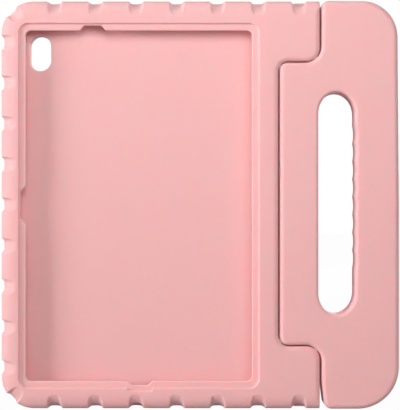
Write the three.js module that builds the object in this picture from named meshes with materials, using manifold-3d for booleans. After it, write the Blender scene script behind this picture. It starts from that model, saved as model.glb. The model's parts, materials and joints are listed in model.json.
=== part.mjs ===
// A soft foam carrying case, upright as it is held: a frame with a lipped pocket, and a
// carrying handle that turns back on two pins to prop the case up.
// Millimetres. X runs to the right, Z up, and the pocket opens towards -Y.
// The origin is the middle of the bottom edge.
import * as THREE from 'three';
import { mergeVertices } from 'three/addons/utils/BufferGeometryUtils.js';
import Module from 'manifold-3d';

const wasm = await Module();
wasm.setup();

// The pocket, and the lip that stands over its edges all round the window.
const pocketWidth = 169.3;
const pocketHeight = 257.6;
const pocketDepth = 7.6;
const pocketCornerRadius = 8;
const lipOverSides = 5.7;
const lipOverEnds = 6.45;
const lipFace = 4.9;
const lipStep = 1.7;
const lipThickness = 3;
const lipStepRadius = 7;
const windowRadius = 3.5;

// The frame, from the window outwards. Its two ears reach past the wall by the handle.
const caseDepth = 25;
const leftBorder = 17.4;
const rightBorder = 18.3;
const topBorder = 20.8;
const bottomBorder = 19.5;
const earReach = 29.1;
const upperEarHeight = 42.2;
const lowerEarHeight = 43.7;
const bodyCornerRadius = 23;
const rimRoundIn = 10;
const rimRoundDeep = 6;
const seamRound = 3.5;
const earTipRadius = 5;
const earHeelRadius = 9;

// Cut-outs in the lip, each named by its side of the window.
// along is the distance of its middle from the middle of that side.
const lipCutouts = [
  { side: 'top', along: -32.2, mouth: 17.9, floor: 12.3, depth: 3.5 },
  { side: 'left', along: 0.3, mouth: 27, floor: 19, depth: 3.85 },
  { side: 'bottom', along: 0.9, mouth: 16.8, floor: 10.9, depth: 2.8 },
];

// Openings for the charging plug and for the camera, and the hollow in the back.
const portWidth = 14;
const portHeight = 6.6;
const portFromMiddle = 0.9;
const portDipWidth = 17.2;
const portDipDepth = 2.1;
const cameraWidth = 15;
const cameraHeight = 25;
const cameraFromSide = 14.8;
const cameraFromTop = 21.3;
const backBorder = 14;
const backHollow = 2;
const backHollowRadius = 9;

// Grip scallops round the rim of the frame.
const scallopBite = 1.1;
const cornerScallopBite = 0.6;
const lastScallopBite = 0.5;
const scallopReach = 9;
const scallopHalfWidth = 5.3;
const scallopHalfDepth = 5;
const scallopFullness = 4;
const scallopPitch = 28;
const sideScallopStart = 28.7;
const endScallopStart = 37.3;
const endScallopToHinge = 1.1;
const hoopAcross = 16;
const hoopFullness = 3;

// The handle, its grip slot and the waves for the fingers.
const hingeGap = 0.9;
const hingeCornerEase = 1.4;
const hingeFromWall = 15.5;
const handleReach = 68.9;
const handleTopRadius = 25;
const handleBottomRadius = 29;
const handleLean = 1.1;
const handleTipRadius = 5;
const tongueRadius = 5.5;
const footTaper = 2.3;
const footTaperHeight = 19;
const slotWidth = 25.8;
const slotLength = 156;
const slotFromHinge = 25.4;
const slotAboveMiddle = 1.1;
const slotEndRise = 13.3;
const fingerPitch = 12.6;
const fingerDepth = 0.7;
const fingerEndGap = 10;
const fingersAboveSlotMiddle = 4.5;

// Two hinge pins, each in a bush in its ear and a bush in the handle.
const pinDiameter = 6;
const pinHeadDiameter = 11;
const pinHeadThickness = 2;
const pinHeadSunk = 1.2;
const pinInHandle = 34;
const bushWall = 1.7;
const bushClearance = 0.3;

// Fineness of the curves.
const outlineSteps = 5;
const roundSteps = 3;
const hoopSteps = 9;
const hoopSides = 12;
const pinSegments = 24;
const overshoot = 1;
const sameSpot = 1e-4;

// Places that follow from the sizes.
const windowWidth = pocketWidth - 2 * lipOverSides;
const windowHeight = pocketHeight - 2 * lipOverEnds;
const bodyWidth = leftBorder + windowWidth + rightBorder;
const caseWidth = bodyWidth + hingeFromWall + handleReach;
const caseHeight = bottomBorder + windowHeight + topBorder;
const left = -caseWidth / 2;
const right = caseWidth / 2;
const front = -caseDepth / 2;
const back = caseDepth / 2;
const wallX = left + bodyWidth;
const earEndX = wallX + earReach;
const hingeX = wallX + hingeFromWall;
const upperEarZ = caseHeight - upperEarHeight;
const lowerEarZ = lowerEarHeight;
const earRadius = earEndX - hingeX;
const tongueReach = hingeFromWall - hingeGap;
const turnedBackX = hingeX - back - hingeGap;
const tongueTop = upperEarZ - hingeGap;
const tongueFoot = lowerEarZ + hingeGap;
const windowMiddleX = left + leftBorder + windowWidth / 2;
const windowMiddleZ = bottomBorder + windowHeight / 2;
const slotMiddleZ = caseHeight / 2 + slotAboveMiddle;
const lipFrontY = front + lipStep;
const lipBackY = lipFrontY + lipThickness;
const pocketFloorY = lipBackY + pocketDepth;
const pocketMiddleY = (lipBackY + pocketFloorY) / 2;

// A geometry as a solid that can be joined and cut.
function solid(geometry) {
  const bare = geometry.clone();
  bare.deleteAttribute('normal');
  bare.deleteAttribute('uv');
  const merged = mergeVertices(bare, sameSpot);
  return new wasm.Manifold(new wasm.Mesh({
    numProp: 3,
    vertProperties: new Float32Array(merged.attributes.position.array),
    triVerts: new Uint32Array(merged.index.array),
  }));
}

// A solid back as a geometry, faceted flat.
function geometryOf(body) {
  const mesh = body.getMesh();
  const geometry = new THREE.BufferGeometry();
  geometry.setAttribute('position', new THREE.BufferAttribute(mesh.vertProperties, 3));
  geometry.setIndex(new THREE.BufferAttribute(mesh.triVerts, 1));
  geometry.computeVertexNormals();
  return geometry;
}

// An outline as corner points, each kept once where a line runs on into an arc.
function cornered(outline) {
  const once = (points) => points.filter((point, i) => {
    const before = points[(i + points.length - 1) % points.length];
    return point.distanceTo(before) > sameSpot;
  });
  const { shape, holes } = outline.extractPoints(outlineSteps);
  const clean = new THREE.Shape(once(shape));
  clean.holes = holes.map((hole) => new THREE.Path(once(hole)));
  return clean;
}

// A front-view outline through the whole depth, its front and back edges rounded.
function roundedPlate(outline, roundIn, roundDeep) {
  const straight = caseDepth - 2 * roundDeep;
  const geometry = new THREE.ExtrudeGeometry(cornered(outline), {
    depth: straight,
    bevelThickness: roundDeep,
    bevelSize: roundIn,
    bevelOffset: -roundIn,
    bevelSegments: roundSteps,
  });
  geometry.rotateX(Math.PI / 2);
  geometry.translate(0, straight / 2, 0);
  return solid(geometry);
}

// A front-view outline cut straight from one depth to another.
function prism(outline, fromY, toY) {
  const geometry = new THREE.ExtrudeGeometry(cornered(outline), {
    depth: toY - fromY,
    bevelEnabled: false,
  });
  geometry.rotateX(Math.PI / 2);
  geometry.translate(0, toY, 0);
  return solid(geometry);
}

function roundedRectangle(middleX, middleZ, width, height, radius) {
  const x = width / 2;
  const z = height / 2;
  const r = Math.min(radius, x, z);
  const shape = new THREE.Shape();
  shape.absarc(middleX + x - r, middleZ - z + r, r, -Math.PI / 2, 0);
  shape.absarc(middleX + x - r, middleZ + z - r, r, 0, Math.PI / 2);
  shape.absarc(middleX - x + r, middleZ + z - r, r, Math.PI / 2, Math.PI);
  shape.absarc(middleX - x + r, middleZ - z + r, r, Math.PI, Math.PI * 1.5);
  shape.closePath();
  return shape;
}

// The frame's outer edge, run on past the handle so that only its own rim is rounded.
function rimOutline() {
  const r = bodyCornerRadius;
  const shape = new THREE.Shape();
  shape.moveTo(right, 0);
  shape.lineTo(right, caseHeight);
  shape.absarc(left + r, caseHeight - r, r, Math.PI / 2, Math.PI);
  shape.absarc(left + r, r, r, Math.PI, Math.PI * 1.5);
  shape.closePath();
  return shape;
}

// The frame's edge along the handle: two ears, and the bay between them for the tongue.
function seamOutline() {
  const tip = earTipRadius;
  const heel = earHeelRadius;
  const root = tongueRadius + hingeGap + hingeCornerEase;
  const low = -overshoot;
  const high = caseHeight + overshoot;
  const shape = new THREE.Shape();
  shape.moveTo(left - overshoot, high);
  shape.lineTo(left - overshoot, low);
  shape.absarc(earEndX - tip, low + tip, tip, -Math.PI / 2, 0);
  shape.absarc(earEndX - heel, lowerEarZ - heel, heel, 0, Math.PI / 2);
  shape.absarc(wallX + root, lowerEarZ + root, root, -Math.PI / 2, -Math.PI, true);
  shape.absarc(wallX + root, upperEarZ - root, root, Math.PI, Math.PI / 2, true);
  shape.absarc(earEndX - heel, upperEarZ + heel, heel, -Math.PI / 2, 0);
  shape.absarc(earEndX - tip, high - tip, tip, 0, Math.PI / 2);
  shape.closePath();
  return shape;
}

// The handle's outline about the hinge axis: the grip, and the tongue between the ears.
function handleOutline() {
  const tip = handleTipRadius;
  const heel = earHeelRadius + hingeGap + hingeCornerEase;
  const shoulder = earRadius + hingeGap;
  const reach = right - hingeX;
  const top = handleTopRadius;
  const bottom = handleBottomRadius;
  const shape = new THREE.Shape();
  shape.moveTo(shoulder, tongueFoot - heel);
  shape.lineTo(shoulder, footTaperHeight);
  shape.absarc(shoulder + footTaper + tip, tip, tip, Math.PI, Math.PI * 1.5);
  shape.absarc(reach - bottom, bottom, bottom, -Math.PI / 2, 0);
  shape.lineTo(reach, slotMiddleZ);
  shape.absarc(reach - handleLean - top, caseHeight - top, top, 0, Math.PI / 2);
  shape.absarc(shoulder + tip, caseHeight - tip, tip, Math.PI / 2, Math.PI);
  shape.absarc(shoulder - heel, tongueTop + heel, heel, 0, -Math.PI / 2, true);
  shape.absarc(-tongueReach + tongueRadius, tongueTop - tongueRadius, tongueRadius, Math.PI / 2, Math.PI);
  shape.absarc(-tongueReach + tongueRadius, tongueFoot + tongueRadius, tongueRadius, Math.PI, Math.PI * 1.5);
  shape.absarc(shoulder - heel, tongueFoot - heel, heel, Math.PI / 2, 0, true);
  shape.closePath();
  shape.holes.push(slotOutline());
  return shape;
}

// The grip slot, with a row of shallow waves for the fingers down its outer wall.
function slotOutline() {
  const x = slotWidth / 2;
  const straight = slotLength / 2 - slotEndRise;
  const waves = Math.floor((2 * (straight - fingerEndGap)) / fingerPitch);
  const low = slotMiddleZ + fingersAboveSlotMiddle - (waves * fingerPitch) / 2;
  const arcRadius = fingerPitch ** 2 / (8 * fingerDepth) + fingerDepth / 2;
  const halfAngle = Math.asin(fingerPitch / 2 / arcRadius);
  const outerX = slotFromHinge + x;
  const shape = new THREE.Path();
  shape.moveTo(outerX, slotMiddleZ - straight);
  shape.lineTo(outerX, low);
  for (let wave = 0; wave < waves; wave += 1) {
    const middle = low + (wave + 0.5) * fingerPitch;
    shape.absarc(outerX + fingerDepth - arcRadius, middle, arcRadius, -halfAngle, halfAngle);
  }
  shape.absellipse(slotFromHinge, slotMiddleZ + straight, x, slotEndRise, 0, Math.PI);
  shape.absellipse(slotFromHinge, slotMiddleZ - straight, x, slotEndRise, Math.PI, 2 * Math.PI);
  return shape;
}

// A point of a squarish round, half as wide as across and half as deep as deep.
function squarish(angle, across, deep, fullness) {
  const square = (value) => Math.sign(value) * Math.abs(value) ** (2 / fullness);
  return new THREE.Vector2(across * square(Math.cos(angle)), deep * square(Math.sin(angle)));
}

// The half hoop that presses one scallop round the rim, from the front face to the back.
// Its inner side follows a squarish half round, and the hoop's bar lies outside that.
class HalfHoop extends THREE.Curve {
  constructor(across, deep) {
    super();
    this.across = across;
    this.deep = deep;
  }

  getPoint(t, target = new THREE.Vector3()) {
    const angle = Math.PI * (0.5 + t);
    const inner = squarish(angle, this.across, this.deep, hoopFullness);
    const power = 2 - 2 / hoopFullness;
    const outX = (Math.sign(Math.cos(angle)) * Math.abs(Math.cos(angle)) ** power) / this.across;
    const outY = (Math.sign(Math.sin(angle)) * Math.abs(Math.sin(angle)) ** power) / this.deep;
    const outwards = scallopHalfDepth / Math.hypot(outX, outY);
    return target.set(inner.x + outX * outwards, inner.y + outY * outwards, 0);
  }
}

// One scallop at a point of the front view's outline, pressed in against its outward side.
function scallop(bite, edgeX, edgeZ, outwardX, outwardZ) {
  const run = (hoopAcross + bite - scallopReach) / hoopAcross;
  const deep = back / (1 - run ** hoopFullness) ** (1 / hoopFullness);
  const corners = Array.from({ length: hoopSides }, (_, i) => (
    squarish((2 * Math.PI * i) / hoopSides, scallopHalfWidth, scallopHalfDepth, scallopFullness)
  ));
  const geometry = new THREE.ExtrudeGeometry(new THREE.Shape(corners), {
    steps: hoopSteps,
    extrudePath: new HalfHoop(hoopAcross, deep),
  });
  geometry.rotateY(Math.atan2(outwardZ, -outwardX));
  const sunk = bite + hoopAcross;
  geometry.translate(edgeX - outwardX * sunk, 0, edgeZ - outwardZ * sunk);
  return solid(geometry);
}

// Places for scallops at about the usual pitch, with one at each end of a stretch.
function scallopPlaces(from, to) {
  const steps = Math.round((to - from) / scallopPitch);
  return Array.from({ length: steps + 1 }, (_, i) => from + ((to - from) * i) / steps);
}

function scallops() {
  const made = [];
  for (const z of scallopPlaces(sideScallopStart, caseHeight - sideScallopStart)) {
    made.push(scallop(scallopBite, left, z, -1, 0));
  }
  const lastX = hingeX - endScallopToHinge;
  for (const x of scallopPlaces(left + endScallopStart, lastX)) {
    const bite = x === lastX ? lastScallopBite : scallopBite;
    made.push(scallop(bite, x, caseHeight, 0, 1));
    made.push(scallop(bite, x, 0, 0, -1));
  }
  const share = Math.SQRT1_2;
  const inset = bodyCornerRadius * (1 - share);
  made.push(scallop(cornerScallopBite, left + inset, caseHeight - inset, -share, share));
  made.push(scallop(cornerScallopBite, left + inset, inset, -share, -share));
  return made;
}

// A trapezoid bitten out of the lip, from its mouth at the window's edge to its floor.
function lipCutout({ side, along, mouth, floor, depth }) {
  const shape = new THREE.Shape();
  const grow = (mouth - floor) / 2 / depth;
  const corners = [
    [-mouth / 2 - overshoot * grow, -overshoot],
    [mouth / 2 + overshoot * grow, -overshoot],
    [floor / 2, depth],
    [-floor / 2, depth],
  ];
  const place = {
    top: ([a, out]) => [windowMiddleX + along + a, windowMiddleZ + windowHeight / 2 + out],
    bottom: ([a, out]) => [windowMiddleX + along - a, windowMiddleZ - windowHeight / 2 - out],
    left: ([a, out]) => [windowMiddleX - windowWidth / 2 - out, windowMiddleZ + along + a],
  }[side];
  shape.setFromPoints(corners.map((corner) => new THREE.Vector2(...place(corner))));
  return prism(shape, front - overshoot, pocketMiddleY);
}

// A round bar or bore on the hinge axis, between two heights.
function hingeRound(x, diameter, fromZ, toZ) {
  const geometry = new THREE.CylinderGeometry(diameter / 2, diameter / 2, toZ - fromZ, pinSegments);
  geometry.rotateX(Math.PI / 2);
  geometry.translate(x, 0, (fromZ + toZ) / 2);
  return solid(geometry);
}

// A block between two corners.
function block(fromX, fromY, fromZ, toX, toY, toZ) {
  const geometry = new THREE.BoxGeometry(toX - fromX, toY - fromY, toZ - fromZ);
  geometry.translate((fromX + toX) / 2, (fromY + toY) / 2, (fromZ + toZ) / 2);
  return solid(geometry);
}

// What is left outside a corner that is turned about the hinge axis: the corner keeps
// inside radius, and rounds off with roundRadius as it meets the flat at flatZ.
// up is 1 where the corner's own side lies above flatZ, and -1 where it lies below.
function turnedRelief(x, radius, roundRadius, flatZ, up, outerRadius) {
  const points = [];
  const ring = (r, z) => points.push(new THREE.Vector2(r, flatZ + up * z));
  ring(radius - roundRadius, -hingeGap);
  ring(outerRadius, -hingeGap);
  ring(outerRadius, roundRadius);
  for (let i = 0; i <= outlineSteps; i += 1) {
    const angle = (i / outlineSteps) * (Math.PI / 2);
    ring(radius - roundRadius + roundRadius * Math.cos(angle), roundRadius - roundRadius * Math.sin(angle));
  }
  ring(radius - roundRadius, -hingeGap);
  if (up < 0) points.reverse();
  const geometry = new THREE.LatheGeometry(points, pinSegments * 2);
  geometry.rotateX(Math.PI / 2);
  geometry.translate(x, 0, 0);
  return solid(geometry);
}

// The same all along a straight end: the space outside radius, between two heights.
function endRelief(x, radius, outerRadius, fromZ, toZ) {
  const points = [[radius, fromZ], [outerRadius, fromZ], [outerRadius, toZ], [radius, toZ], [radius, fromZ]];
  const geometry = new THREE.LatheGeometry(points.map((p) => new THREE.Vector2(...p)), pinSegments * 2);
  geometry.rotateX(Math.PI / 2);
  geometry.translate(x, 0, 0);
  return solid(geometry);
}

const bushBore = pinDiameter + 2 * bushClearance;
const bushOuter = bushBore + 2 * bushWall;
const foamBore = bushOuter + 2 * bushClearance;
const headBore = pinHeadDiameter + 2 * bushClearance;
const headDeep = pinHeadSunk + pinHeadThickness + bushClearance;
const reliefReach = 2 * caseDepth;

// The frame's wall behind the tongue swells towards it at the same distance from the hinge
// axis, so that no light shows through, and stays clear of the handle turned right back.
function hingeKnuckle() {
  const deep = Math.sqrt(hingeFromWall ** 2 - (hingeX - turnedBackX) ** 2);
  const swell = block(wallX - overshoot, 0, lowerEarZ, turnedBackX, deep, upperEarZ);
  const bay = hingeRound(hingeX, 2 * hingeFromWall, lowerEarZ - overshoot, upperEarZ + overshoot);
  return swell.subtract(bay);
}

function makeFrame() {
  let frame = roundedPlate(rimOutline(), rimRoundIn, rimRoundDeep);
  frame = frame.intersect(roundedPlate(seamOutline(), seamRound, seamRound));
  frame = frame.add(hingeKnuckle());
  const stepWidth = windowWidth + 2 * lipFace;
  const stepHeight = windowHeight + 2 * lipFace;
  const step = roundedRectangle(windowMiddleX, windowMiddleZ, stepWidth, stepHeight, lipStepRadius);
  const opening = roundedRectangle(windowMiddleX, windowMiddleZ, windowWidth, windowHeight, windowRadius);
  const pocket = roundedRectangle(
    windowMiddleX,
    windowMiddleZ,
    pocketWidth,
    pocketHeight,
    pocketCornerRadius,
  );
  const portX = windowMiddleX + portFromMiddle;
  const stepFootZ = windowMiddleZ - stepHeight / 2;
  const dip = roundedRectangle(portX, stepFootZ, portDipWidth, 2 * portDipDepth, portDipDepth / 2);
  const hollow = roundedRectangle(
    (left + wallX) / 2,
    caseHeight / 2,
    bodyWidth - 2 * backBorder,
    caseHeight - 2 * backBorder,
    backHollowRadius,
  );
  const camera = roundedRectangle(
    windowMiddleX - pocketWidth / 2 + cameraFromSide,
    windowMiddleZ + pocketHeight / 2 - cameraFromTop,
    cameraWidth,
    cameraHeight,
    cameraWidth / 2,
  );
  const portOutline = roundedRectangle(portX, pocketMiddleY, portWidth, portHeight, portHeight / 2);
  const port = new THREE.ExtrudeGeometry(cornered(portOutline), {
    depth: bottomBorder + overshoot,
    bevelEnabled: false,
  });
  port.translate(0, 0, -overshoot);
  const cuts = [
    prism(step, front - overshoot, lipFrontY),
    prism(dip, front - overshoot, lipFrontY),
    prism(opening, front - overshoot, pocketMiddleY),
    prism(pocket, lipBackY, pocketFloorY),
    prism(hollow, back - backHollow, back + overshoot),
    prism(camera, pocketFloorY - overshoot, back + overshoot),
    solid(port),
    ...lipCutouts.map(lipCutout),
    ...scallops(),
    hingeRound(hingeX, foamBore, -overshoot, lowerEarZ + overshoot),
    hingeRound(hingeX, foamBore, upperEarZ - overshoot, caseHeight + overshoot),
    hingeRound(hingeX, headBore, -overshoot, headDeep),
    hingeRound(hingeX, headBore, caseHeight - headDeep, caseHeight + overshoot),
  ];
  // Behind the pins the ears' ends are turned about the hinge, so that the handle clears them.
  const behind = block(hingeX - hingeFromWall, 0, 0, hingeX + reliefReach, reliefReach, caseHeight);
  const beyond = block(hingeX, 0, -overshoot, hingeX + reliefReach, reliefReach, caseHeight + overshoot);
  const corner = Math.hypot(hingeFromWall, back);
  const heels = [
    turnedRelief(hingeX, earRadius, earHeelRadius, upperEarZ, 1, corner),
    turnedRelief(hingeX, earRadius, earHeelRadius, lowerEarZ, -1, corner),
  ];
  const ends = [
    endRelief(hingeX, earRadius, reliefReach, -overshoot, lowerEarZ + overshoot),
    endRelief(hingeX, earRadius, reliefReach, upperEarZ - overshoot, caseHeight + overshoot),
  ];
  // Between the ears the frame keeps clear of the handle's back, when that is turned right back.
  cuts.push(block(turnedBackX, 0, lowerEarZ, earEndX, back + overshoot, upperEarZ));
  cuts.push(...heels.map((heel) => heel.intersect(behind)));
  cuts.push(...ends.map((end) => end.intersect(beyond)));
  return cuts.reduce((body, cut) => body.subtract(cut), frame);
}

function makeHandle() {
  const grip = roundedPlate(handleOutline(), seamRound, seamRound);
  const behind = block(-reliefReach, 0, 0, earRadius - tongueRadius, reliefReach, caseHeight);
  const beyond = block(-reliefReach, 0, 0, 0, reliefReach, caseHeight);
  const straightFoot = tongueFoot + tongueRadius;
  const straightTop = tongueTop - tongueRadius;
  const cuts = [
    turnedRelief(0, tongueReach, tongueRadius, tongueTop, -1, reliefReach).intersect(behind),
    turnedRelief(0, tongueReach, tongueRadius, tongueFoot, 1, reliefReach).intersect(behind),
    endRelief(0, tongueReach, reliefReach, straightFoot, straightTop).intersect(beyond),
    hingeRound(0, foamBore, tongueTop - pinInHandle - bushClearance, tongueTop + overshoot),
    hingeRound(0, foamBore, tongueFoot - overshoot, tongueFoot + pinInHandle + bushClearance),
  ];
  return cuts.reduce((body, cut) => body.subtract(cut), grip);
}

// A hinge pin, head up: the head sits in the ear's outer edge, and the tip in the handle.
function pinGeometry(earHeight) {
  const headTop = -pinHeadSunk;
  const headFoot = headTop - pinHeadThickness;
  const tip = -earHeight - hingeGap - pinInHandle + bushClearance;
  const profile = [
    [0, tip],
    [pinDiameter / 2, tip],
    [pinDiameter / 2, headFoot],
    [pinHeadDiameter / 2, headFoot],
    [pinHeadDiameter / 2, headTop],
    [0, headTop],
  ];
  const geometry = new THREE.LatheGeometry(profile.map((p) => new THREE.Vector2(...p)), pinSegments);
  return geometryOf(solid(geometry.rotateX(Math.PI / 2)));
}

// A hard bush round the pin, between two distances in from the ear's outer edge.
function bushGeometry(outer, inner) {
  const bore = bushBore / 2;
  const skin = bushOuter / 2;
  const profile = [[bore, -inner], [skin, -inner], [skin, -outer], [bore, -outer], [bore, -inner]];
  const geometry = new THREE.LatheGeometry(profile.map((p) => new THREE.Vector2(...p)), pinSegments);
  return geometryOf(solid(geometry.rotateX(Math.PI / 2)));
}

const foam = new THREE.MeshStandardMaterial({ color: 0xf1b8b8, roughness: 0.85, metalness: 0 });
const pinPlastic = new THREE.MeshStandardMaterial({ color: 0xe9a9aa, roughness: 0.45, metalness: 0 });
const bushPlastic = new THREE.MeshStandardMaterial({ color: 0xeeeae2, roughness: 0.5, metalness: 0 });

function named(name, geometry, material) {
  const mesh = new THREE.Mesh(geometry, material);
  mesh.name = name;
  return mesh;
}

const carryingCase = new THREE.Group();
carryingCase.add(named('case_frame', geometryOf(makeFrame()), foam));

// Everything on the hinge axis, and the handle that turns about it.
const hinge = new THREE.Group();
hinge.position.set(hingeX, 0, 0);
carryingCase.add(hinge);
hinge.add(named('handle', geometryOf(makeHandle()), foam));

for (const [end, earHeight] of [['top', upperEarHeight], ['bottom', lowerEarHeight]]) {
  const inEar = new THREE.Group();
  if (end === 'top') inEar.position.z = caseHeight;
  else inEar.rotation.x = Math.PI;
  inEar.add(named(`hinge_pin_${end}`, pinGeometry(earHeight), pinPlastic));
  inEar.add(named(`ear_bush_${end}`, bushGeometry(headDeep, earHeight), bushPlastic));
  const inHandle = bushGeometry(earHeight + hingeGap, earHeight + hingeGap + pinInHandle);
  inEar.add(named(`handle_bush_${end}`, inHandle, bushPlastic));
  hinge.add(inEar);
}

export default carryingCase;
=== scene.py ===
# A soft foam carrying case, dressed for its picture: the lipped frame with its scalloped rim,
# the carrying handle on its hinge, and the pins and bushes that it turns on.
# Metres. X runs to the right, Z up, and the pocket opens towards -Y.
import json
import math

import bmesh
import bpy
from mathutils import Matrix, Vector


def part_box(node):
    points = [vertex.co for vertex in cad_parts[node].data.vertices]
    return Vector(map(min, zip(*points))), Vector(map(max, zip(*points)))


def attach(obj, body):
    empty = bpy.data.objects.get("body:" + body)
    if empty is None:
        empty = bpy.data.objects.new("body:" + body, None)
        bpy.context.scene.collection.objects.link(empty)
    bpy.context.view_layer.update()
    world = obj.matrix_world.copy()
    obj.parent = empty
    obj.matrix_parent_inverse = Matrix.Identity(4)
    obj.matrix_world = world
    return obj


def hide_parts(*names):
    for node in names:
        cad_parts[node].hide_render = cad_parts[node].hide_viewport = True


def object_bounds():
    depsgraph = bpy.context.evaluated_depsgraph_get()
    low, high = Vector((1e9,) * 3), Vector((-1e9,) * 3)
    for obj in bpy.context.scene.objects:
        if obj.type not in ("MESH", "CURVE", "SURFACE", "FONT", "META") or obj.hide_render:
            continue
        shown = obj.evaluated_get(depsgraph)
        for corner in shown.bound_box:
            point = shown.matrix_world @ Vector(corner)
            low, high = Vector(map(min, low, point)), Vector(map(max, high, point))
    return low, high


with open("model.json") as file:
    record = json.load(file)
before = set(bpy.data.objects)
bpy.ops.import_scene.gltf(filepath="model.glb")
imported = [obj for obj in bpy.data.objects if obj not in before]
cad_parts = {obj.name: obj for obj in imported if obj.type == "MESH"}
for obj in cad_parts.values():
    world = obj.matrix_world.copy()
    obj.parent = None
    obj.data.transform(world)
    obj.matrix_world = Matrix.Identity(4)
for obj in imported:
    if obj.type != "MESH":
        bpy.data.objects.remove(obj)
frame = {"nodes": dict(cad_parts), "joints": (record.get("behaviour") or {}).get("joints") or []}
cad_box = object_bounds()
mm = 0.001
scene = bpy.context.scene

# The camera stands in front, level with the middle of the case, about a metre away.
# It takes in the case's full height with a hair of white round it.
case_low, case_high = (Vector(corner) for corner in cad_box)
view_distance = 970 * mm
view_height = 142.4 * mm
seen_height = 285.6 * mm
film_height = 36
camera_data = bpy.data.cameras.new("camera")
camera_data.sensor_fit = "VERTICAL"
camera_data.sensor_height = film_height
camera_data.lens = film_height * view_distance / seen_height
camera = bpy.data.objects.new("camera", camera_data)
camera.location = (0, case_low.y - view_distance, view_height)
camera.rotation_euler = (math.radians(90), 0, 0)
scene.collection.objects.link(camera)
scene.camera = camera
scene.view_settings.view_transform = "Standard"

# A white table that runs on into the distance. Seen straight or in a gloss it shines white
# by itself, so strongly that next to nothing of the case's shadow shows on it.
table_reach = 6
table_own_white = 0.98
table_grey = (0.42, 0.42, 0.42, 1)
table_bm = bmesh.new()
bmesh.ops.create_grid(table_bm, x_segments=1, y_segments=1, size=table_reach)
table_mesh = bpy.data.meshes.new("table")
table_bm.to_mesh(table_mesh)
table_bm.free()
table = bpy.data.objects.new("table", table_mesh)
scene.collection.objects.link(table)


def plain_sight(nodes, links):
    """1 for rays that look straight, in a gloss or through glass, and 0 for those that light."""
    ray = nodes.new("ShaderNodeLightPath")
    seen = nodes.new("ShaderNodeMath")
    seen.operation = "MAXIMUM"
    seen_through = nodes.new("ShaderNodeMath")
    seen_through.operation = "MAXIMUM"
    links.new(ray.outputs["Is Camera Ray"], seen.inputs[0])
    links.new(ray.outputs["Is Glossy Ray"], seen.inputs[1])
    links.new(seen.outputs[0], seen_through.inputs[0])
    links.new(ray.outputs["Is Transmission Ray"], seen_through.inputs[1])
    return seen_through.outputs[0]


table_white = bpy.data.materials.new("table_white")
table_white.use_nodes = True
nodes, links = table_white.node_tree.nodes, table_white.node_tree.links
nodes.clear()
surface = nodes.new("ShaderNodeOutputMaterial")
mixed = nodes.new("ShaderNodeMixShader")
lit = nodes.new("ShaderNodeBsdfDiffuse")
lit.inputs["Color"].default_value = table_grey
own = nodes.new("ShaderNodeEmission")
own.inputs["Strength"].default_value = 1
share = nodes.new("ShaderNodeMath")
share.operation = "MULTIPLY"
share.inputs[1].default_value = table_own_white
links.new(plain_sight(nodes, links), share.inputs[0])
links.new(share.outputs[0], mixed.inputs["Fac"])
links.new(lit.outputs[0], mixed.inputs[1])
links.new(own.outputs[0], mixed.inputs[2])
links.new(mixed.outputs[0], surface.inputs["Surface"])
table_mesh.materials.append(table_white)

# The room is white to look at, and lights the case with only a dim, even glow.
room_glow = 0.16
room_colour = (1, 0.94, 0.93, 1)
world = bpy.data.worlds.new("studio")
world.use_nodes = True
scene.world = world
nodes, links = world.node_tree.nodes, world.node_tree.links
nodes.clear()
sky = nodes.new("ShaderNodeOutputWorld")
both = nodes.new("ShaderNodeMixShader")
glow = nodes.new("ShaderNodeBackground")
glow.inputs["Strength"].default_value = room_glow
white = nodes.new("ShaderNodeBackground")
white.inputs["Color"].default_value = (1, 1, 1, 1)
white.inputs["Strength"].default_value = 1
glow.inputs["Color"].default_value = room_colour
links.new(plain_sight(nodes, links), both.inputs["Fac"])
links.new(glow.outputs[0], both.inputs[1])
links.new(white.outputs[0], both.inputs[2])
links.new(both.outputs[0], sky.inputs["Surface"])

# Four soft boxes: the key close above the camera's line, a far one at the left that
# brightens the left rim, a weak one at the right behind the camera, and one for the back.
case_middle = (case_low + case_high) / 2
for name, place, side, watts in (
    ("key_light", Vector((-0.02, -0.56, 0.5)), 0.3, 1.95),
    ("side_light", Vector((-2.2, -0.95, 0.35)), 0.8, 44),
    ("fill_light", Vector((0.9, -2.1, 0.35)), 1.2, 11.5),
    ("back_light", Vector((0.9, 1.9, 0.7)), 1.2, 26),
):
    lamp_data = bpy.data.lights.new(name, "AREA")
    lamp_data.shape = "SQUARE"
    lamp_data.size = side
    lamp_data.energy = watts
    lamp = bpy.data.objects.new(name, lamp_data)
    lamp.location = place
    lamp.rotation_euler = (case_middle - place).to_track_quat("-Z", "Y").to_euler()
    scene.collection.objects.link(lamp)


# The foam of both mouldings: pink closed-cell foam that comes out of its mould with a fine,
# matte skin. Its colour drifts a little, it has a fine grain, and its edges are painted paler:
# partly rubbed wear, partly a painted highlight.
def effect_group(name, inputs, outputs):
    group = bpy.data.node_groups.new(name, "ShaderNodeTree")
    for socket, kind, value in inputs:
        made = group.interface.new_socket(socket, in_out="INPUT", socket_type=kind)
        made.default_value = value
    for socket, kind in outputs:
        group.interface.new_socket(socket, in_out="OUTPUT", socket_type=kind)
    start = group.nodes.new("NodeGroupInput")
    end = group.nodes.new("NodeGroupOutput")
    return group, start, end


def noise(group, start, size, detail, roughness):
    """Noise over the piece with spots of about the given size, in metres."""
    texture = group.nodes.new("ShaderNodeTexNoise")
    texture.inputs["Scale"].default_value = 1 / size
    texture.inputs["Detail"].default_value = detail
    texture.inputs["Roughness"].default_value = roughness
    group.links.new(start.outputs["Place"], texture.inputs["Vector"])
    return texture.outputs["Fac"]


def reckon(group, operation, first, second):
    """One sum of a node group: each value is a socket or a plain number."""
    node = group.nodes.new("ShaderNodeMath")
    node.operation = operation
    for socket, value in zip(node.inputs, (first, second)):
        if isinstance(value, bpy.types.NodeSocket):
            group.links.new(value, socket)
        else:
            socket.default_value = value
    return node.outputs[0]


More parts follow.
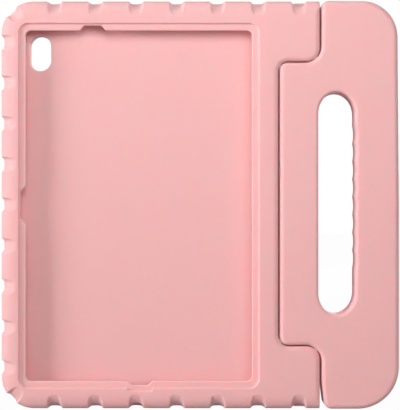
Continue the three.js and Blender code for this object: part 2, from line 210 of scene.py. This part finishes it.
grain, start, end = effect_group(
    "skin_grain",
    [("Place", "NodeSocketVector", (0, 0, 0)), ("Coarse Share", "NodeSocketFloat", 0.4)],
    [("Height", "NodeSocketFloat")],
)
fine = noise(grain, start, 0.55 * mm, 2, 0.6)
coarse = noise(grain, start, 2.6 * mm, 3, 0.5)
weighed = reckon(grain, "MULTIPLY", coarse, start.outputs["Coarse Share"])
grain.links.new(reckon(grain, "ADD", fine, weighed), end.inputs["Height"])

drift, start, end = effect_group(
    "colour_drift",
    [
        ("Place", "NodeSocketVector", (0, 0, 0)),
        ("Colour", "NodeSocketColor", (1, 1, 1, 1)),
        ("Deeper Colour", "NodeSocketColor", (0.5, 0.5, 0.5, 1)),
        ("Strength", "NodeSocketFloat", 0.1),
    ],
    [("Colour", "NodeSocketColor"), ("Patches", "NodeSocketFloat")],
)
patches = noise(drift, start, 38 * mm, 3, 0.55)
specks = noise(drift, start, 1.1 * mm, 2, 0.7)
patch_share = reckon(drift, "MULTIPLY", patches, 0.65)
speck_share = reckon(drift, "MULTIPLY", specks, 0.35)
spotted = reckon(drift, "ADD", patch_share, speck_share)
strength = reckon(drift, "MULTIPLY", spotted, start.outputs["Strength"])
tint = drift.nodes.new("ShaderNodeMix")
tint.data_type = "RGBA"
drift.links.new(strength, tint.inputs["Factor"])
drift.links.new(start.outputs["Colour"], tint.inputs["A"])
drift.links.new(start.outputs["Deeper Colour"], tint.inputs["B"])
drift.links.new(tint.outputs["Result"], end.inputs["Colour"])
drift.links.new(patches, end.inputs["Patches"])

# Paler edges found from the pointiness of the mesh: partly rubbed wear and partly a painted
# highlight along the edges.
wear_and_highlight, start, end = effect_group(
    "edge_wear_and_highlight",
    [
        ("Place", "NodeSocketVector", (0, 0, 0)),
        ("Flat", "NodeSocketFloat", 0.5),
        ("Width", "NodeSocketFloat", 0.05),
    ],
    [("Edges", "NodeSocketFloat")],
)
shape = wear_and_highlight.nodes.new("ShaderNodeNewGeometry")
above = reckon(wear_and_highlight, "SUBTRACT", shape.outputs["Pointiness"], start.outputs["Flat"])
edges = wear_and_highlight.nodes.new("ShaderNodeMath")
edges.operation = "DIVIDE"
edges.use_clamp = True
wear_and_highlight.links.new(above, edges.inputs[0])
wear_and_highlight.links.new(start.outputs["Width"], edges.inputs[1])
broken = reckon(wear_and_highlight, "MULTIPLY", noise(wear_and_highlight, start, 6 * mm, 3, 0.6), 1.6)
wear_and_highlight.links.new(reckon(wear_and_highlight, "MULTIPLY", edges.outputs[0], broken), end.inputs["Edges"])


def placed_group(tree, group, place):
    node = tree.nodes.new("ShaderNodeGroup")
    node.node_tree = group
    tree.links.new(place, node.inputs["Place"])
    return node


def plastic_material(name, colour, deeper, drift_strength, roughness, grain_height, grain_depth):
    """A material with the drift of colour and the grain, and its Principled shader."""
    material = bpy.data.materials.new(name)
    material.use_nodes = True
    tree = material.node_tree
    shader = tree.nodes["Principled BSDF"]
    place = tree.nodes.new("ShaderNodeTexCoord").outputs["Object"]
    drifting = placed_group(tree, drift, place)
    drifting.inputs["Colour"].default_value = colour
    drifting.inputs["Deeper Colour"].default_value = deeper
    drifting.inputs["Strength"].default_value = drift_strength
    rough = tree.nodes.new("ShaderNodeMapRange")
    rough.inputs["To Min"].default_value = roughness[0]
    rough.inputs["To Max"].default_value = roughness[1]
    tree.links.new(drifting.outputs["Patches"], rough.inputs["Value"])
    tree.links.new(rough.outputs["Result"], shader.inputs["Roughness"])
    grained = placed_group(tree, grain, place)
    bump = tree.nodes.new("ShaderNodeBump")
    bump.inputs["Strength"].default_value = grain_height
    bump.inputs["Distance"].default_value = grain_depth
    tree.links.new(grained.outputs["Height"], bump.inputs["Height"])
    tree.links.new(bump.outputs["Normal"], shader.inputs["Normal"])
    return material, tree, place, drifting, shader


foam_colour = (0.87, 0.515, 0.515, 1)
foam_deeper = (0.84, 0.44, 0.445, 1)
# The paler edge colour: partly rubbed wear, partly a painted highlight.
foam_worn_and_highlit = (0.93, 0.64, 0.64, 1)
foam, tree, place, drifting, shader = plastic_material(
    "pink_foam", foam_colour, foam_deeper, drift_strength=0.35,
    roughness=(0.62, 0.8), grain_height=0.35, grain_depth=0.12 * mm,
)
# The edges are painted paler here: partly rubbed wear, partly a painted highlight.
wear_and_highlight_node = placed_group(tree, wear_and_highlight, place)
wear_and_highlight_node.inputs["Flat"].default_value = 0.515
wear_and_highlight_node.inputs["Width"].default_value = 0.06
paler = tree.nodes.new("ShaderNodeMix")
paler.data_type = "RGBA"
paler.inputs["B"].default_value = foam_worn_and_highlit
tree.links.new(wear_and_highlight_node.outputs["Edges"], paler.inputs["Factor"])
tree.links.new(drifting.outputs["Colour"], paler.inputs["A"])
tree.links.new(paler.outputs["Result"], shader.inputs["Base Color"])
shader.inputs["Specular IOR Level"].default_value = 0.3
shader.inputs["Subsurface Weight"].default_value = 0.8
shader.inputs["Subsurface Radius"].default_value = (1, 0.3, 0.26)
shader.inputs["Subsurface Scale"].default_value = 3.5 * mm


# The frame: one moulding in soft foam. Its front border steps down to a thin lip round the
# window, the pocket lies behind the lip, and two ears at the right hold the handle. Grip
# scallops are pressed round the rim, and the back has a shallow hollow and a camera opening.
def new_piece(name, bm):
    """A finished bmesh as an object in the scene, its faces turned outwards."""
    bmesh.ops.recalc_face_normals(bm, faces=bm.faces)
    mesh = bpy.data.meshes.new(name)
    bm.to_mesh(mesh)
    bm.free()
    piece = bpy.data.objects.new(name, mesh)
    scene.collection.objects.link(piece)
    return piece


corner_steps = 18
rim_steps = 12


def slab(name, corners, y_from, y_to, rim=0, rim_depth=None):
    """A slab between two depths, from its corners in the front view: each is (x, z, radius).
    rim rounds its front and back edges that far in, and rim_depth that far down the side."""
    squash = (rim_depth or rim) / rim if rim else 1
    bm = bmesh.new()
    verts = [bm.verts.new((x, y_from / squash, z)) for x, z, radius in corners]
    bm.faces.new(verts)
    for vert, (x, z, radius) in zip(verts, corners):
        if radius:
            bmesh.ops.bevel(
                bm, geom=[vert], offset=radius, segments=corner_steps, profile=0.5,
                affect="VERTICES", material=-1,
            )
    lifted = bmesh.ops.extrude_face_region(bm, geom=list(bm.faces))["geom"]
    moved = [vert for vert in lifted if isinstance(vert, bmesh.types.BMVert)]
    bmesh.ops.translate(bm, verts=moved, vec=(0, (y_to - y_from) / squash, 0))
    bmesh.ops.recalc_face_normals(bm, faces=bm.faces)
    if rim:
        level = [e for e in bm.edges if abs(e.verts[0].co.y - e.verts[1].co.y) < hair]
        bmesh.ops.bevel(
            bm, geom=level, offset=rim, segments=rim_steps, profile=0.5,
            affect="EDGES", material=-1,
        )
    bmesh.ops.scale(bm, verts=bm.verts, vec=(1, squash, 1))
    return new_piece(name, bm)


def rectangle(x_from, z_from, x_to, z_to, radius):
    """The corners of an upright rectangle, for a slab."""
    return [
        (x_from, z_from, radius),
        (x_to, z_from, radius),
        (x_to, z_to, radius),
        (x_from, z_to, radius),
    ]


def set_mesh(piece):
    """Makes a piece's modifiers part of its mesh."""
    seen_as = piece.evaluated_get(bpy.context.evaluated_depsgraph_get())
    made = bpy.data.meshes.new_from_object(seen_as)
    piece.modifiers.clear()
    piece.data = made


def carve(piece, cutters, operation="DIFFERENCE"):
    """Cuts a piece with solids, or keeps what it shares with them, and clears them away."""
    shelf = bpy.data.collections.new("cutters")
    scene.collection.children.link(shelf)
    for cutter in cutters:
        scene.collection.objects.unlink(cutter)
        shelf.objects.link(cutter)
    tool = piece.modifiers.new("carve", "BOOLEAN")
    tool.operation = operation
    tool.operand_type = "COLLECTION"
    tool.collection = shelf
    tool.solver = "EXACT"
    set_mesh(piece)
    for cutter in cutters:
        bpy.data.objects.remove(cutter)
    bpy.data.collections.remove(shelf)


bar_sides = 64


def round_bar(name, x, diameter, z_from, z_to):
    """A bar on the hinge axis, to bore a hole with."""
    bm = bmesh.new()
    bmesh.ops.create_cone(
        bm, cap_ends=True, segments=bar_sides, radius1=diameter / 2, radius2=diameter / 2,
        depth=z_to - z_from, matrix=Matrix.Translation((x, 0, (z_from + z_to) / 2)),
    )
    return new_piece(name, bm)


turn_steps = 48


def turned(name, x, profile, turn_from, turn_by, keep_from=None, keep_to=None):
    """A profile of (radius, z) turned about the hinge axis through part of a round.
    keep_from and keep_to cut it off square at those places along X."""
    bm = bmesh.new()
    axis = Vector((x, 0, 0))
    bm.faces.new([bm.verts.new((x + radius, 0, z)) for radius, z in profile])
    bmesh.ops.rotate(bm, verts=bm.verts, cent=axis, matrix=Matrix.Rotation(turn_from, 3, "Z"))
    bmesh.ops.spin(
        bm, geom=list(bm.verts) + list(bm.edges) + list(bm.faces), cent=axis,
        axis=(0, 0, 1), angle=turn_by, steps=turn_steps,
    )
    bmesh.ops.recalc_face_normals(bm, faces=bm.faces)
    for place, outwards in ((keep_from, -1), (keep_to, 1)):
        if place is not None:
            cut = bmesh.ops.bisect_plane(
                bm, geom=list(bm.verts) + list(bm.edges) + list(bm.faces), dist=hair,
                plane_co=(place, 0, 0), plane_no=(outwards, 0, 0), clear_outer=True,
            )["geom_cut"]
            rim_edges = [edge for edge in cut if isinstance(edge, bmesh.types.BMEdge)]
            bmesh.ops.edgeloop_fill(bm, edges=rim_edges)
    return new_piece(name, bm)


foam_voxel = 0.48 * mm
soft_passes = 3


def soften(piece, most_triangles):
    """Turns sharp cut edges into the soft ones of a moulding, and thins the flat faces."""
    grow = 1
    remesh = piece.modifiers.new("remesh", "REMESH")
    remesh.mode = "VOXEL"
    remesh.voxel_size = foam_voxel * grow
    remesh.use_smooth_shade = True
    smooth = piece.modifiers.new("soften", "SMOOTH")
    smooth.factor = 0.5
    smooth.iterations = soft_passes
    set_mesh(piece)
    triangles = 2 * len(piece.data.polygons)
    thin = piece.modifiers.new("thin", "DECIMATE")
    thin.ratio = min(1, most_triangles / triangles)
    thin.use_collapse_triangulate = True
    even = piece.modifiers.new("even", "WEIGHTED_NORMAL")
    even.keep_sharp = False
    set_mesh(piece)
    for polygon in piece.data.polygons:
        polygon.use_smooth = True


hair = 0.01 * mm
clear = 5 * mm
hinge_x = frame["joints"][0]["pos_m"][0]
low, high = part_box("case_frame")
left, front, foot = low
ear_end, back, top = high
tongue_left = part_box("handle")[0].x
hinge_gap = 0.9 * mm
corner_ease = 1.4 * mm
wall = tongue_left - hinge_gap
upper_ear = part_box("ear_bush_top")[0].z
lower_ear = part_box("ear_bush_bottom")[1].z

corner_radius = 23 * mm
tip_radius = 5 * mm
heel_radius = 9 * mm
tongue_radius = 5.5 * mm
seam_round = 3.5 * mm
rim_round = 10 * mm
rim_round_depth = 6 * mm
root_radius = tongue_radius + hinge_gap + corner_ease
past_ears = ear_end + 4 * clear
case_frame = slab(
    "foam_frame",
    [
        (left, foot, corner_radius),
        (past_ears, foot, 0),
        (past_ears, top, 0),
        (left, top, corner_radius),
    ],
    front, back, rim_round, rim_round_depth,
)
seam_side = slab(
    "seam_side",
    [
        (left - clear, foot - clear, 0),
        (ear_end, foot - clear, tip_radius),
        (ear_end, lower_ear, heel_radius),
        (wall, lower_ear, root_radius),
        (wall, upper_ear, root_radius),
        (ear_end, upper_ear, heel_radius),
        (ear_end, top + clear, tip_radius),
        (left - clear, top + clear, 0),
    ],
    front, back, seam_round,
)
carve(case_frame, [seam_side], "INTERSECT")

# Behind the tongue the wall swells towards it at an even distance from the hinge axis, so that
# no light shows through, and it ends where the handle's back comes when that is turned back.
hinge_to_wall = hinge_x - wall
turned_back = hinge_x - back - hinge_gap
swell_depth = math.sqrt(hinge_to_wall**2 - (hinge_x - turned_back) ** 2)
swell = slab(
    "swell", rectangle(wall - clear, lower_ear, turned_back, upper_ear, 0), 0, swell_depth
)
bay = round_bar("bay", hinge_x, 2 * hinge_to_wall, lower_ear - clear, upper_ear + clear)
carve(swell, [bay])
carve(case_frame, [swell], "UNION")

lip_step = 1.7 * mm
lip_thickness = 3 * mm
lip_face = 4.9 * mm
lip_step_radius = 7 * mm
window_radius = 3.5 * mm
pocket_depth = 7.6 * mm
pocket_radius = 8 * mm
pocket_past_sides = 5.7 * mm
pocket_past_ends = 6.45 * mm
left_border = 17.4 * mm
right_border = 18.3 * mm
bottom_border = 19.5 * mm
top_border = 20.8 * mm
window_left = left + left_border
window_right = wall - right_border
window_foot = foot + bottom_border
window_top = top - top_border
window_x = (window_left + window_right) / 2
window_z = (window_foot + window_top) / 2
step_floor = front + lip_step
lip_back = step_floor + lip_thickness
pocket_floor = lip_back + pocket_depth
pocket_left = window_left - pocket_past_sides
pocket_top = window_top + pocket_past_ends
through_lip = (lip_back + pocket_floor) / 2
cutters = [
    slab(
        "step",
        rectangle(
            window_left - lip_face, window_foot - lip_face,
            window_right + lip_face, window_top + lip_face, lip_step_radius,
        ),
        front - clear, step_floor,
    ),
    slab(
        "window",
        rectangle(window_left, window_foot, window_right, window_top, window_radius),
        front - clear, through_lip,
    ),
    slab(
        "pocket",
        rectangle(
            pocket_left, window_foot - pocket_past_ends,
            window_right + pocket_past_sides, pocket_top, pocket_radius,
        ),
        lip_back, pocket_floor,
    ),
]

# Cut-outs in the lip, each a trapezoid that opens into the window and runs on a little past
# its mouth. Their sizes are in millimetres.
past_mouth = 1
cut_out_radius = 0.4 * mm
for name, along, mouth, floor, depth, place in (
    ("top_cut_out", -32.2, 17.9, 12.3, 3.5, lambda a, d: (window_x + a, window_top + d)),
    ("left_cut_out", 0.3, 27, 19, 3.85, lambda a, d: (window_left - d, window_z + a)),
    ("bottom_cut_out", 0.9, 16.8, 10.9, 2.8, lambda a, d: (window_x + a, window_foot - d)),
):
    grow = (mouth - floor) / depth / 2 * past_mouth
    sides = [
        (along - mouth / 2 - grow, -past_mouth),
        (along + mouth / 2 + grow, -past_mouth),
        (along + floor / 2, depth),
        (along - floor / 2, depth),
    ]
    corners = [(*place(a * mm, d * mm), cut_out_radius) for a, d in sides]
    cutters.append(slab(name, corners, front - clear, through_lip))

# The opening for the charging plug, with a dip in the border above it.
port_from_middle = 0.9 * mm
port_x = window_x + port_from_middle
port_width = 14 * mm
port_height = 6.6 * mm
dip_width = 17.2 * mm
dip_depth = 2.1 * mm
port_middle = (lip_back + pocket_floor) / 2
step_foot = window_foot - lip_face
port = slab(
    "port",
    rectangle(
        port_x - port_width / 2, port_middle - port_height / 2,
        port_x + port_width / 2, port_middle + port_height / 2, port_height / 2 - hair,
    ),
    foot - clear, window_foot,
)
port.data.transform(Matrix(((1, 0, 0, 0), (0, 0, 1, 0), (0, 1, 0, 0), (0, 0, 0, 1))))
port.data.flip_normals()
cutters.append(port)
cutters.append(
    slab(
        "dip",
        rectangle(
            port_x - dip_width / 2, step_foot - dip_depth,
            port_x + dip_width / 2, step_foot + dip_depth, dip_depth / 2,
        ),
        front - clear, step_floor,
    )
)

# The hollow in the back, and the camera opening through the pocket's floor.
back_border = 14 * mm
back_hollow = 2 * mm
hollow_radius = 9 * mm
camera_width = 15 * mm
camera_height = 25 * mm
camera_from_side = 14.8 * mm
camera_from_top = 21.3 * mm
camera_x = pocket_left + camera_from_side
camera_z = pocket_top - camera_from_top
cutters.append(
    slab(
        "hollow",
        rectangle(
            left + back_border, foot + back_border,
            wall - back_border, top - back_border, hollow_radius,
        ),
        back - back_hollow, back + clear,
    )
)
cutters.append(
    slab(
        "camera_opening",
        rectangle(
            camera_x - camera_width / 2, camera_z - camera_height / 2,
            camera_x + camera_width / 2, camera_z + camera_height / 2, camera_width / 2 - hair,
        ),
        pocket_floor - clear / 2, back + clear,
    )
)

# Bores for the bushes, and wider ones for the heads of the pins.
bush_bore = 10.6 * mm
head_bore = 11.6 * mm
head_depth = 3.5 * mm
cutters += [
    round_bar("lower_bore", hinge_x, bush_bore, foot - clear, lower_ear + clear),
    round_bar("upper_bore", hinge_x, bush_bore, upper_ear - clear, top + clear),
    round_bar("lower_head", hinge_x, head_bore, foot - clear, foot + head_depth),
    round_bar("upper_head", hinge_x, head_bore, top - head_depth, top + clear),
]

# Behind the pins the ears' ends are turned about the hinge, so that the handle clears them,
# and between the ears the frame keeps clear of the handle's back.
cutters.append(
    slab(
        "handle_room",
        rectangle(turned_back, lower_ear, ear_end, upper_ear, 0),
        0, back + clear,
    )
)
ear_reach = ear_end - hinge_x
root_reach = math.hypot(hinge_to_wall, back)
far_out = 2 * (back - front)
quarter_steps = 12
quarter = [i / quarter_steps * math.pi / 2 for i in range(quarter_steps + 1)]
for side, level in ((1, upper_ear), (-1, lower_ear)):
    inner = ear_reach - heel_radius
    profile = [(inner, level - side * hinge_gap), (root_reach, level - side * hinge_gap)]
    profile.append((root_reach, level + side * heel_radius))
    for angle in quarter:
        sunk = heel_radius * (1 - math.sin(angle))
        profile.append((inner + heel_radius * math.cos(angle), level + side * sunk))
    cutters.append(turned("heel", hinge_x, profile, 0, math.pi, keep_from=wall))
for z_from, z_to in ((foot - clear, lower_ear + clear), (upper_ear - clear, top + clear)):
    end = [(ear_reach, z_from), (far_out, z_from), (far_out, z_to), (ear_reach, z_to)]
    cutters.append(turned("ear_end", hinge_x, end, 0, math.pi / 2))


# Grip scallops: each is pressed in by a bar bent round the rim from the front to the back.
def squarish(angle, fullness):
    """A point of a round that is squarer the higher its fullness, and reaches 1 each way."""
    return tuple(
        math.copysign(abs(share) ** (2 / fullness), share)
        for share in (math.cos(angle), math.sin(angle))
    )


bar_data = bpy.data.curves.new("scallop_bar", "CURVE")
bar_half_width = 5.3 * mm
bar_half_depth = 5 * mm
bar_points = 36
bar_fullness = 4
bar_round = bar_data.splines.new("POLY")
bar_round.points.add(bar_points - 1)
bar_round.use_cyclic_u = True
for i, point in enumerate(bar_round.points):
    x, y = squarish(i / bar_points * 2 * math.pi, bar_fullness)
    point.co = (bar_half_width * x, bar_half_depth * y, 0, 1)
bar_section = bpy.data.objects.new("scallop_bar", bar_data)


def scallop(bite, edge_x, edge_z, outward):
    across = 16 * mm
    fullness = 2.2
    reach = 9.6 * mm
    run = (across + bite - reach) / across
    deep = back / (1 - run**fullness) ** (1 / fullness)
    bends = 40
    path_data = bpy.data.curves.new("scallop", "CURVE")
    path_data.dimensions = "3D"
    path_data.bevel_mode = "OBJECT"
    path_data.bevel_object = bar_section
    path_data.use_fill_caps = True
    path = path_data.splines.new("POLY")
    path.points.add(bends)
    for i, point in enumerate(path.points):
        angle = math.pi * (0.5 + i / bends)
        x, y = squarish(angle, fullness)
        out_x = math.copysign(abs(x) ** (fullness - 1), x) / across
        out_y = math.copysign(abs(y) ** (fullness - 1), y) / deep
        outwards = bar_half_depth / math.hypot(out_x, out_y)
        point.co = (across * x + out_x * outwards, deep * y + out_y * outwards, 0, 1)
    bent = bpy.data.objects.new("scallop", path_data)
    scene.collection.objects.link(bent)
    mesh = bpy.data.meshes.new_from_object(
        bent.evaluated_get(bpy.context.evaluated_depsgraph_get())
    )
    bpy.data.objects.remove(bent)
    bm = bmesh.new()
    bm.from_mesh(mesh)
    bmesh.ops.remove_doubles(bm, verts=bm.verts, dist=hair)
    turn = math.atan2(outward[1], -outward[0])
    bmesh.ops.rotate(bm, verts=bm.verts, cent=(0, 0, 0), matrix=Matrix.Rotation(turn, 3, "Y"))
    sunk = bite + across
    place = Vector((edge_x - outward[0] * sunk, 0, edge_z - outward[1] * sunk))
    bmesh.ops.translate(bm, verts=bm.verts, vec=place)
    return new_piece("scallop", bm)


scallop_pitch = 28 * mm


def spread(start_at, end_at):
    """Places for scallops at about the usual pitch, with one at each end of a stretch."""
    steps = round((end_at - start_at) / scallop_pitch)
    return [start_at + (end_at - start_at) * i / steps for i in range(steps + 1)]


scallop_bite = 0.9 * mm
corner_bite = 0.5 * mm
last_bite = 0.5 * mm
side_start = 28.7 * mm
end_start = 37.3 * mm
last_from_hinge = 1.1 * mm
last_x = hinge_x - last_from_hinge
for z in spread(foot + side_start, top - side_start):
    cutters.append(scallop(scallop_bite, left, z, (-1, 0)))
for x in spread(left + end_start, last_x):
    bite = last_bite if x == last_x else scallop_bite
    cutters.append(scallop(bite, x, top, (0, 1)))
    cutters.append(scallop(bite, x, foot, (0, -1)))
slant = math.sqrt(0.5)
inset = corner_radius * (1 - slant)
cutters.append(scallop(corner_bite, left + inset, top - inset, (-slant, slant)))
cutters.append(scallop(corner_bite, left + inset, foot + inset, (-slant, -slant)))
carve(case_frame, cutters)
bpy.data.objects.remove(bar_section)
frame_triangles = 190000
soften(case_frame, frame_triangles)
case_frame.data.materials.clear()
case_frame.data.materials.append(foam)
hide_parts("case_frame")
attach(case_frame, "case")

# The handle: one moulding in the same foam, a broad grip with a slot for the hand and a
# tongue that sits between the ears. Shallow waves for the fingers run down the slot's wall.
low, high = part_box("handle")
handle_end = high.x
shoulder = ear_end + hinge_gap
tongue_top = upper_ear - hinge_gap
tongue_foot = lower_ear + hinge_gap
handle_top_radius = 25 * mm
handle_foot_radius = 29 * mm
handle_tip_radius = 5 * mm
handle_lean = 1.1 * mm
foot_taper = 2.3 * mm
foot_taper_height = 19 * mm
slot_from_hinge = 25.4 * mm
slot_above_middle = 1 * mm
slot_x = hinge_x + slot_from_hinge
slot_z = (foot + top) / 2 + slot_above_middle
handle = slab(
    "foam_handle",
    [
        (shoulder + foot_taper, foot, handle_tip_radius),
        (handle_end, foot, handle_foot_radius),
        (handle_end, slot_z, 0),
        (handle_end - handle_lean, top, handle_top_radius),
        (shoulder, top, handle_tip_radius),
        (shoulder, tongue_top, heel_radius + hinge_gap + corner_ease),
        (tongue_left, tongue_top, tongue_radius),
        (tongue_left, tongue_foot, tongue_radius),
        (shoulder, tongue_foot, heel_radius + hinge_gap + corner_ease),
        (shoulder, foot + foot_taper_height, 0),
    ],
    front, back, seam_round,
)

slot_width = 25.8 * mm
slot_length = 155.4 * mm
slot_rise = 15.3 * mm
slot_rim = 2.2 * mm
wave_pitch = 12.6 * mm
wave_depth = 0.7 * mm
wave_count = 8
waves_above_slot_middle = 4.6 * mm
waves_middle = slot_z + waves_above_slot_middle
straight = slot_length / 2 - slot_rise
slot_sides = 66
side_points = 160
flare_steps = 6


def slot_loop(bm, y, grow):
    """The slot's outline at one depth, grown by a little all round where its rim flares."""
    ring = bmesh.ops.create_circle(bm, cap_ends=False, segments=slot_sides, radius=1)["verts"]
    upright = Matrix.Rotation(math.radians(90), 3, "X")
    half_side = Matrix.Rotation(math.pi / slot_sides, 3, "Z")
    bmesh.ops.rotate(bm, verts=ring, cent=(0, 0, 0), matrix=upright @ half_side)
    bmesh.ops.scale(bm, verts=ring, vec=(slot_width / 2 + grow, 1, slot_rise + grow))
    for vert in ring:
        vert.co += Vector((slot_x, y, slot_z + math.copysign(straight, vert.co.z)))
    loop_edges = list({edge for vert in ring for edge in vert.link_edges})
    side = [
        edge for edge in loop_edges
        if edge.calc_length() > straight and edge.verts[0].co.x > slot_x
    ]
    cut = bmesh.ops.subdivide_edges(bm, edges=side, cuts=side_points)["geom_inner"]
    for vert in cut:
        if isinstance(vert, bmesh.types.BMVert):
            along = (vert.co.z - waves_middle) / wave_pitch + wave_count / 2
            if 0 < along < wave_count:
                vert.co.x += wave_depth * (1 - (2 * (along % 1) - 1) ** 2)
    return [edge for edge in bm.edges if abs(edge.verts[0].co.y - y) < hair]


bm = bmesh.new()
flare = [(i / flare_steps * math.pi / 2) for i in range(flare_steps + 1)]
levels = [(front - clear, slot_rim)]
levels += [(front + slot_rim * (1 - math.cos(a)), slot_rim * (1 - math.sin(a))) for a in flare]
levels += [(-y, grow) for y, grow in reversed(levels)]
loops = [slot_loop(bm, y, grow) for y, grow in levels]
for near, far in zip(loops, loops[1:]):
    bmesh.ops.bridge_loops(bm, edges=near + far)
bmesh.ops.edgeloop_fill(bm, edges=loops[0])
bmesh.ops.edgeloop_fill(bm, edges=loops[-1])
slot_cutter = new_piece("slot", bm)

pin_reach = 34.3 * mm
tongue_reach = hinge_x - tongue_left
cutters = [
    slot_cutter,
    round_bar("top_bore", hinge_x, bush_bore, tongue_top - pin_reach, tongue_top + clear),
    round_bar("foot_bore", hinge_x, bush_bore, tongue_foot - clear, tongue_foot + pin_reach),
]
for side, level in ((-1, tongue_top), (1, tongue_foot)):
    inner = tongue_reach - tongue_radius
    profile = [(inner, level - side * hinge_gap), (far_out, level - side * hinge_gap)]
    profile.append((far_out, level + side * tongue_radius))
    for angle in quarter:
        sunk = tongue_radius * (1 - math.sin(angle))
        profile.append((inner + tongue_radius * math.cos(angle), level + side * sunk))
    keep_to = hinge_x + ear_reach - tongue_radius
    cutters.append(turned("tongue_end", hinge_x, profile, 0, math.pi, keep_to=keep_to))
z_from, z_to = tongue_foot + tongue_radius, tongue_top - tongue_radius
end = [(tongue_reach, z_from), (far_out, z_from), (far_out, z_to), (tongue_reach, z_to)]
cutters.append(turned("tongue_side", hinge_x, end, math.pi / 2, math.pi / 2))
carve(handle, cutters)
handle_triangles = 130000
soften(handle, handle_triangles)
handle.data.materials.clear()
handle.data.materials.append(foam)
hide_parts("handle")
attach(handle, "handle")

# The hinge pins: moulded in pink plastic, pushed in from the outer edges of the ears.
pin_colour = (0.8, 0.4, 0.4, 1)
pin_deeper = (0.72, 0.33, 0.33, 1)
pin_pink, tree, place, drifting, shader = plastic_material(
    "pin_pink", pin_colour, pin_deeper, drift_strength=0.3,
    roughness=(0.36, 0.5), grain_height=0.2, grain_depth=0.05 * mm,
)
tree.links.new(drifting.outputs["Colour"], shader.inputs["Base Color"])
for name in ("hinge_pin_top", "hinge_pin_bottom"):
    pin = frame["nodes"][name]
    pin.data.materials.clear()
    pin.data.materials.append(pin_pink)

# The bushes: plain hard sleeves pressed into the foam of the ears and of the tongue.
bush_colour = (0.85, 0.82, 0.76, 1)
bush_deeper = (0.76, 0.72, 0.65, 1)
bush_white, tree, place, drifting, shader = plastic_material(
    "bush_white", bush_colour, bush_deeper, drift_strength=0.3,
    roughness=(0.4, 0.55), grain_height=0.2, grain_depth=0.05 * mm,
)
tree.links.new(drifting.outputs["Colour"], shader.inputs["Base Color"])
for name in ("ear_bush_top", "ear_bush_bottom", "handle_bush_top", "handle_bush_bottom"):
    bush = frame["nodes"][name]
    bush.data.materials.clear()
    bush.data.materials.append(bush_white)
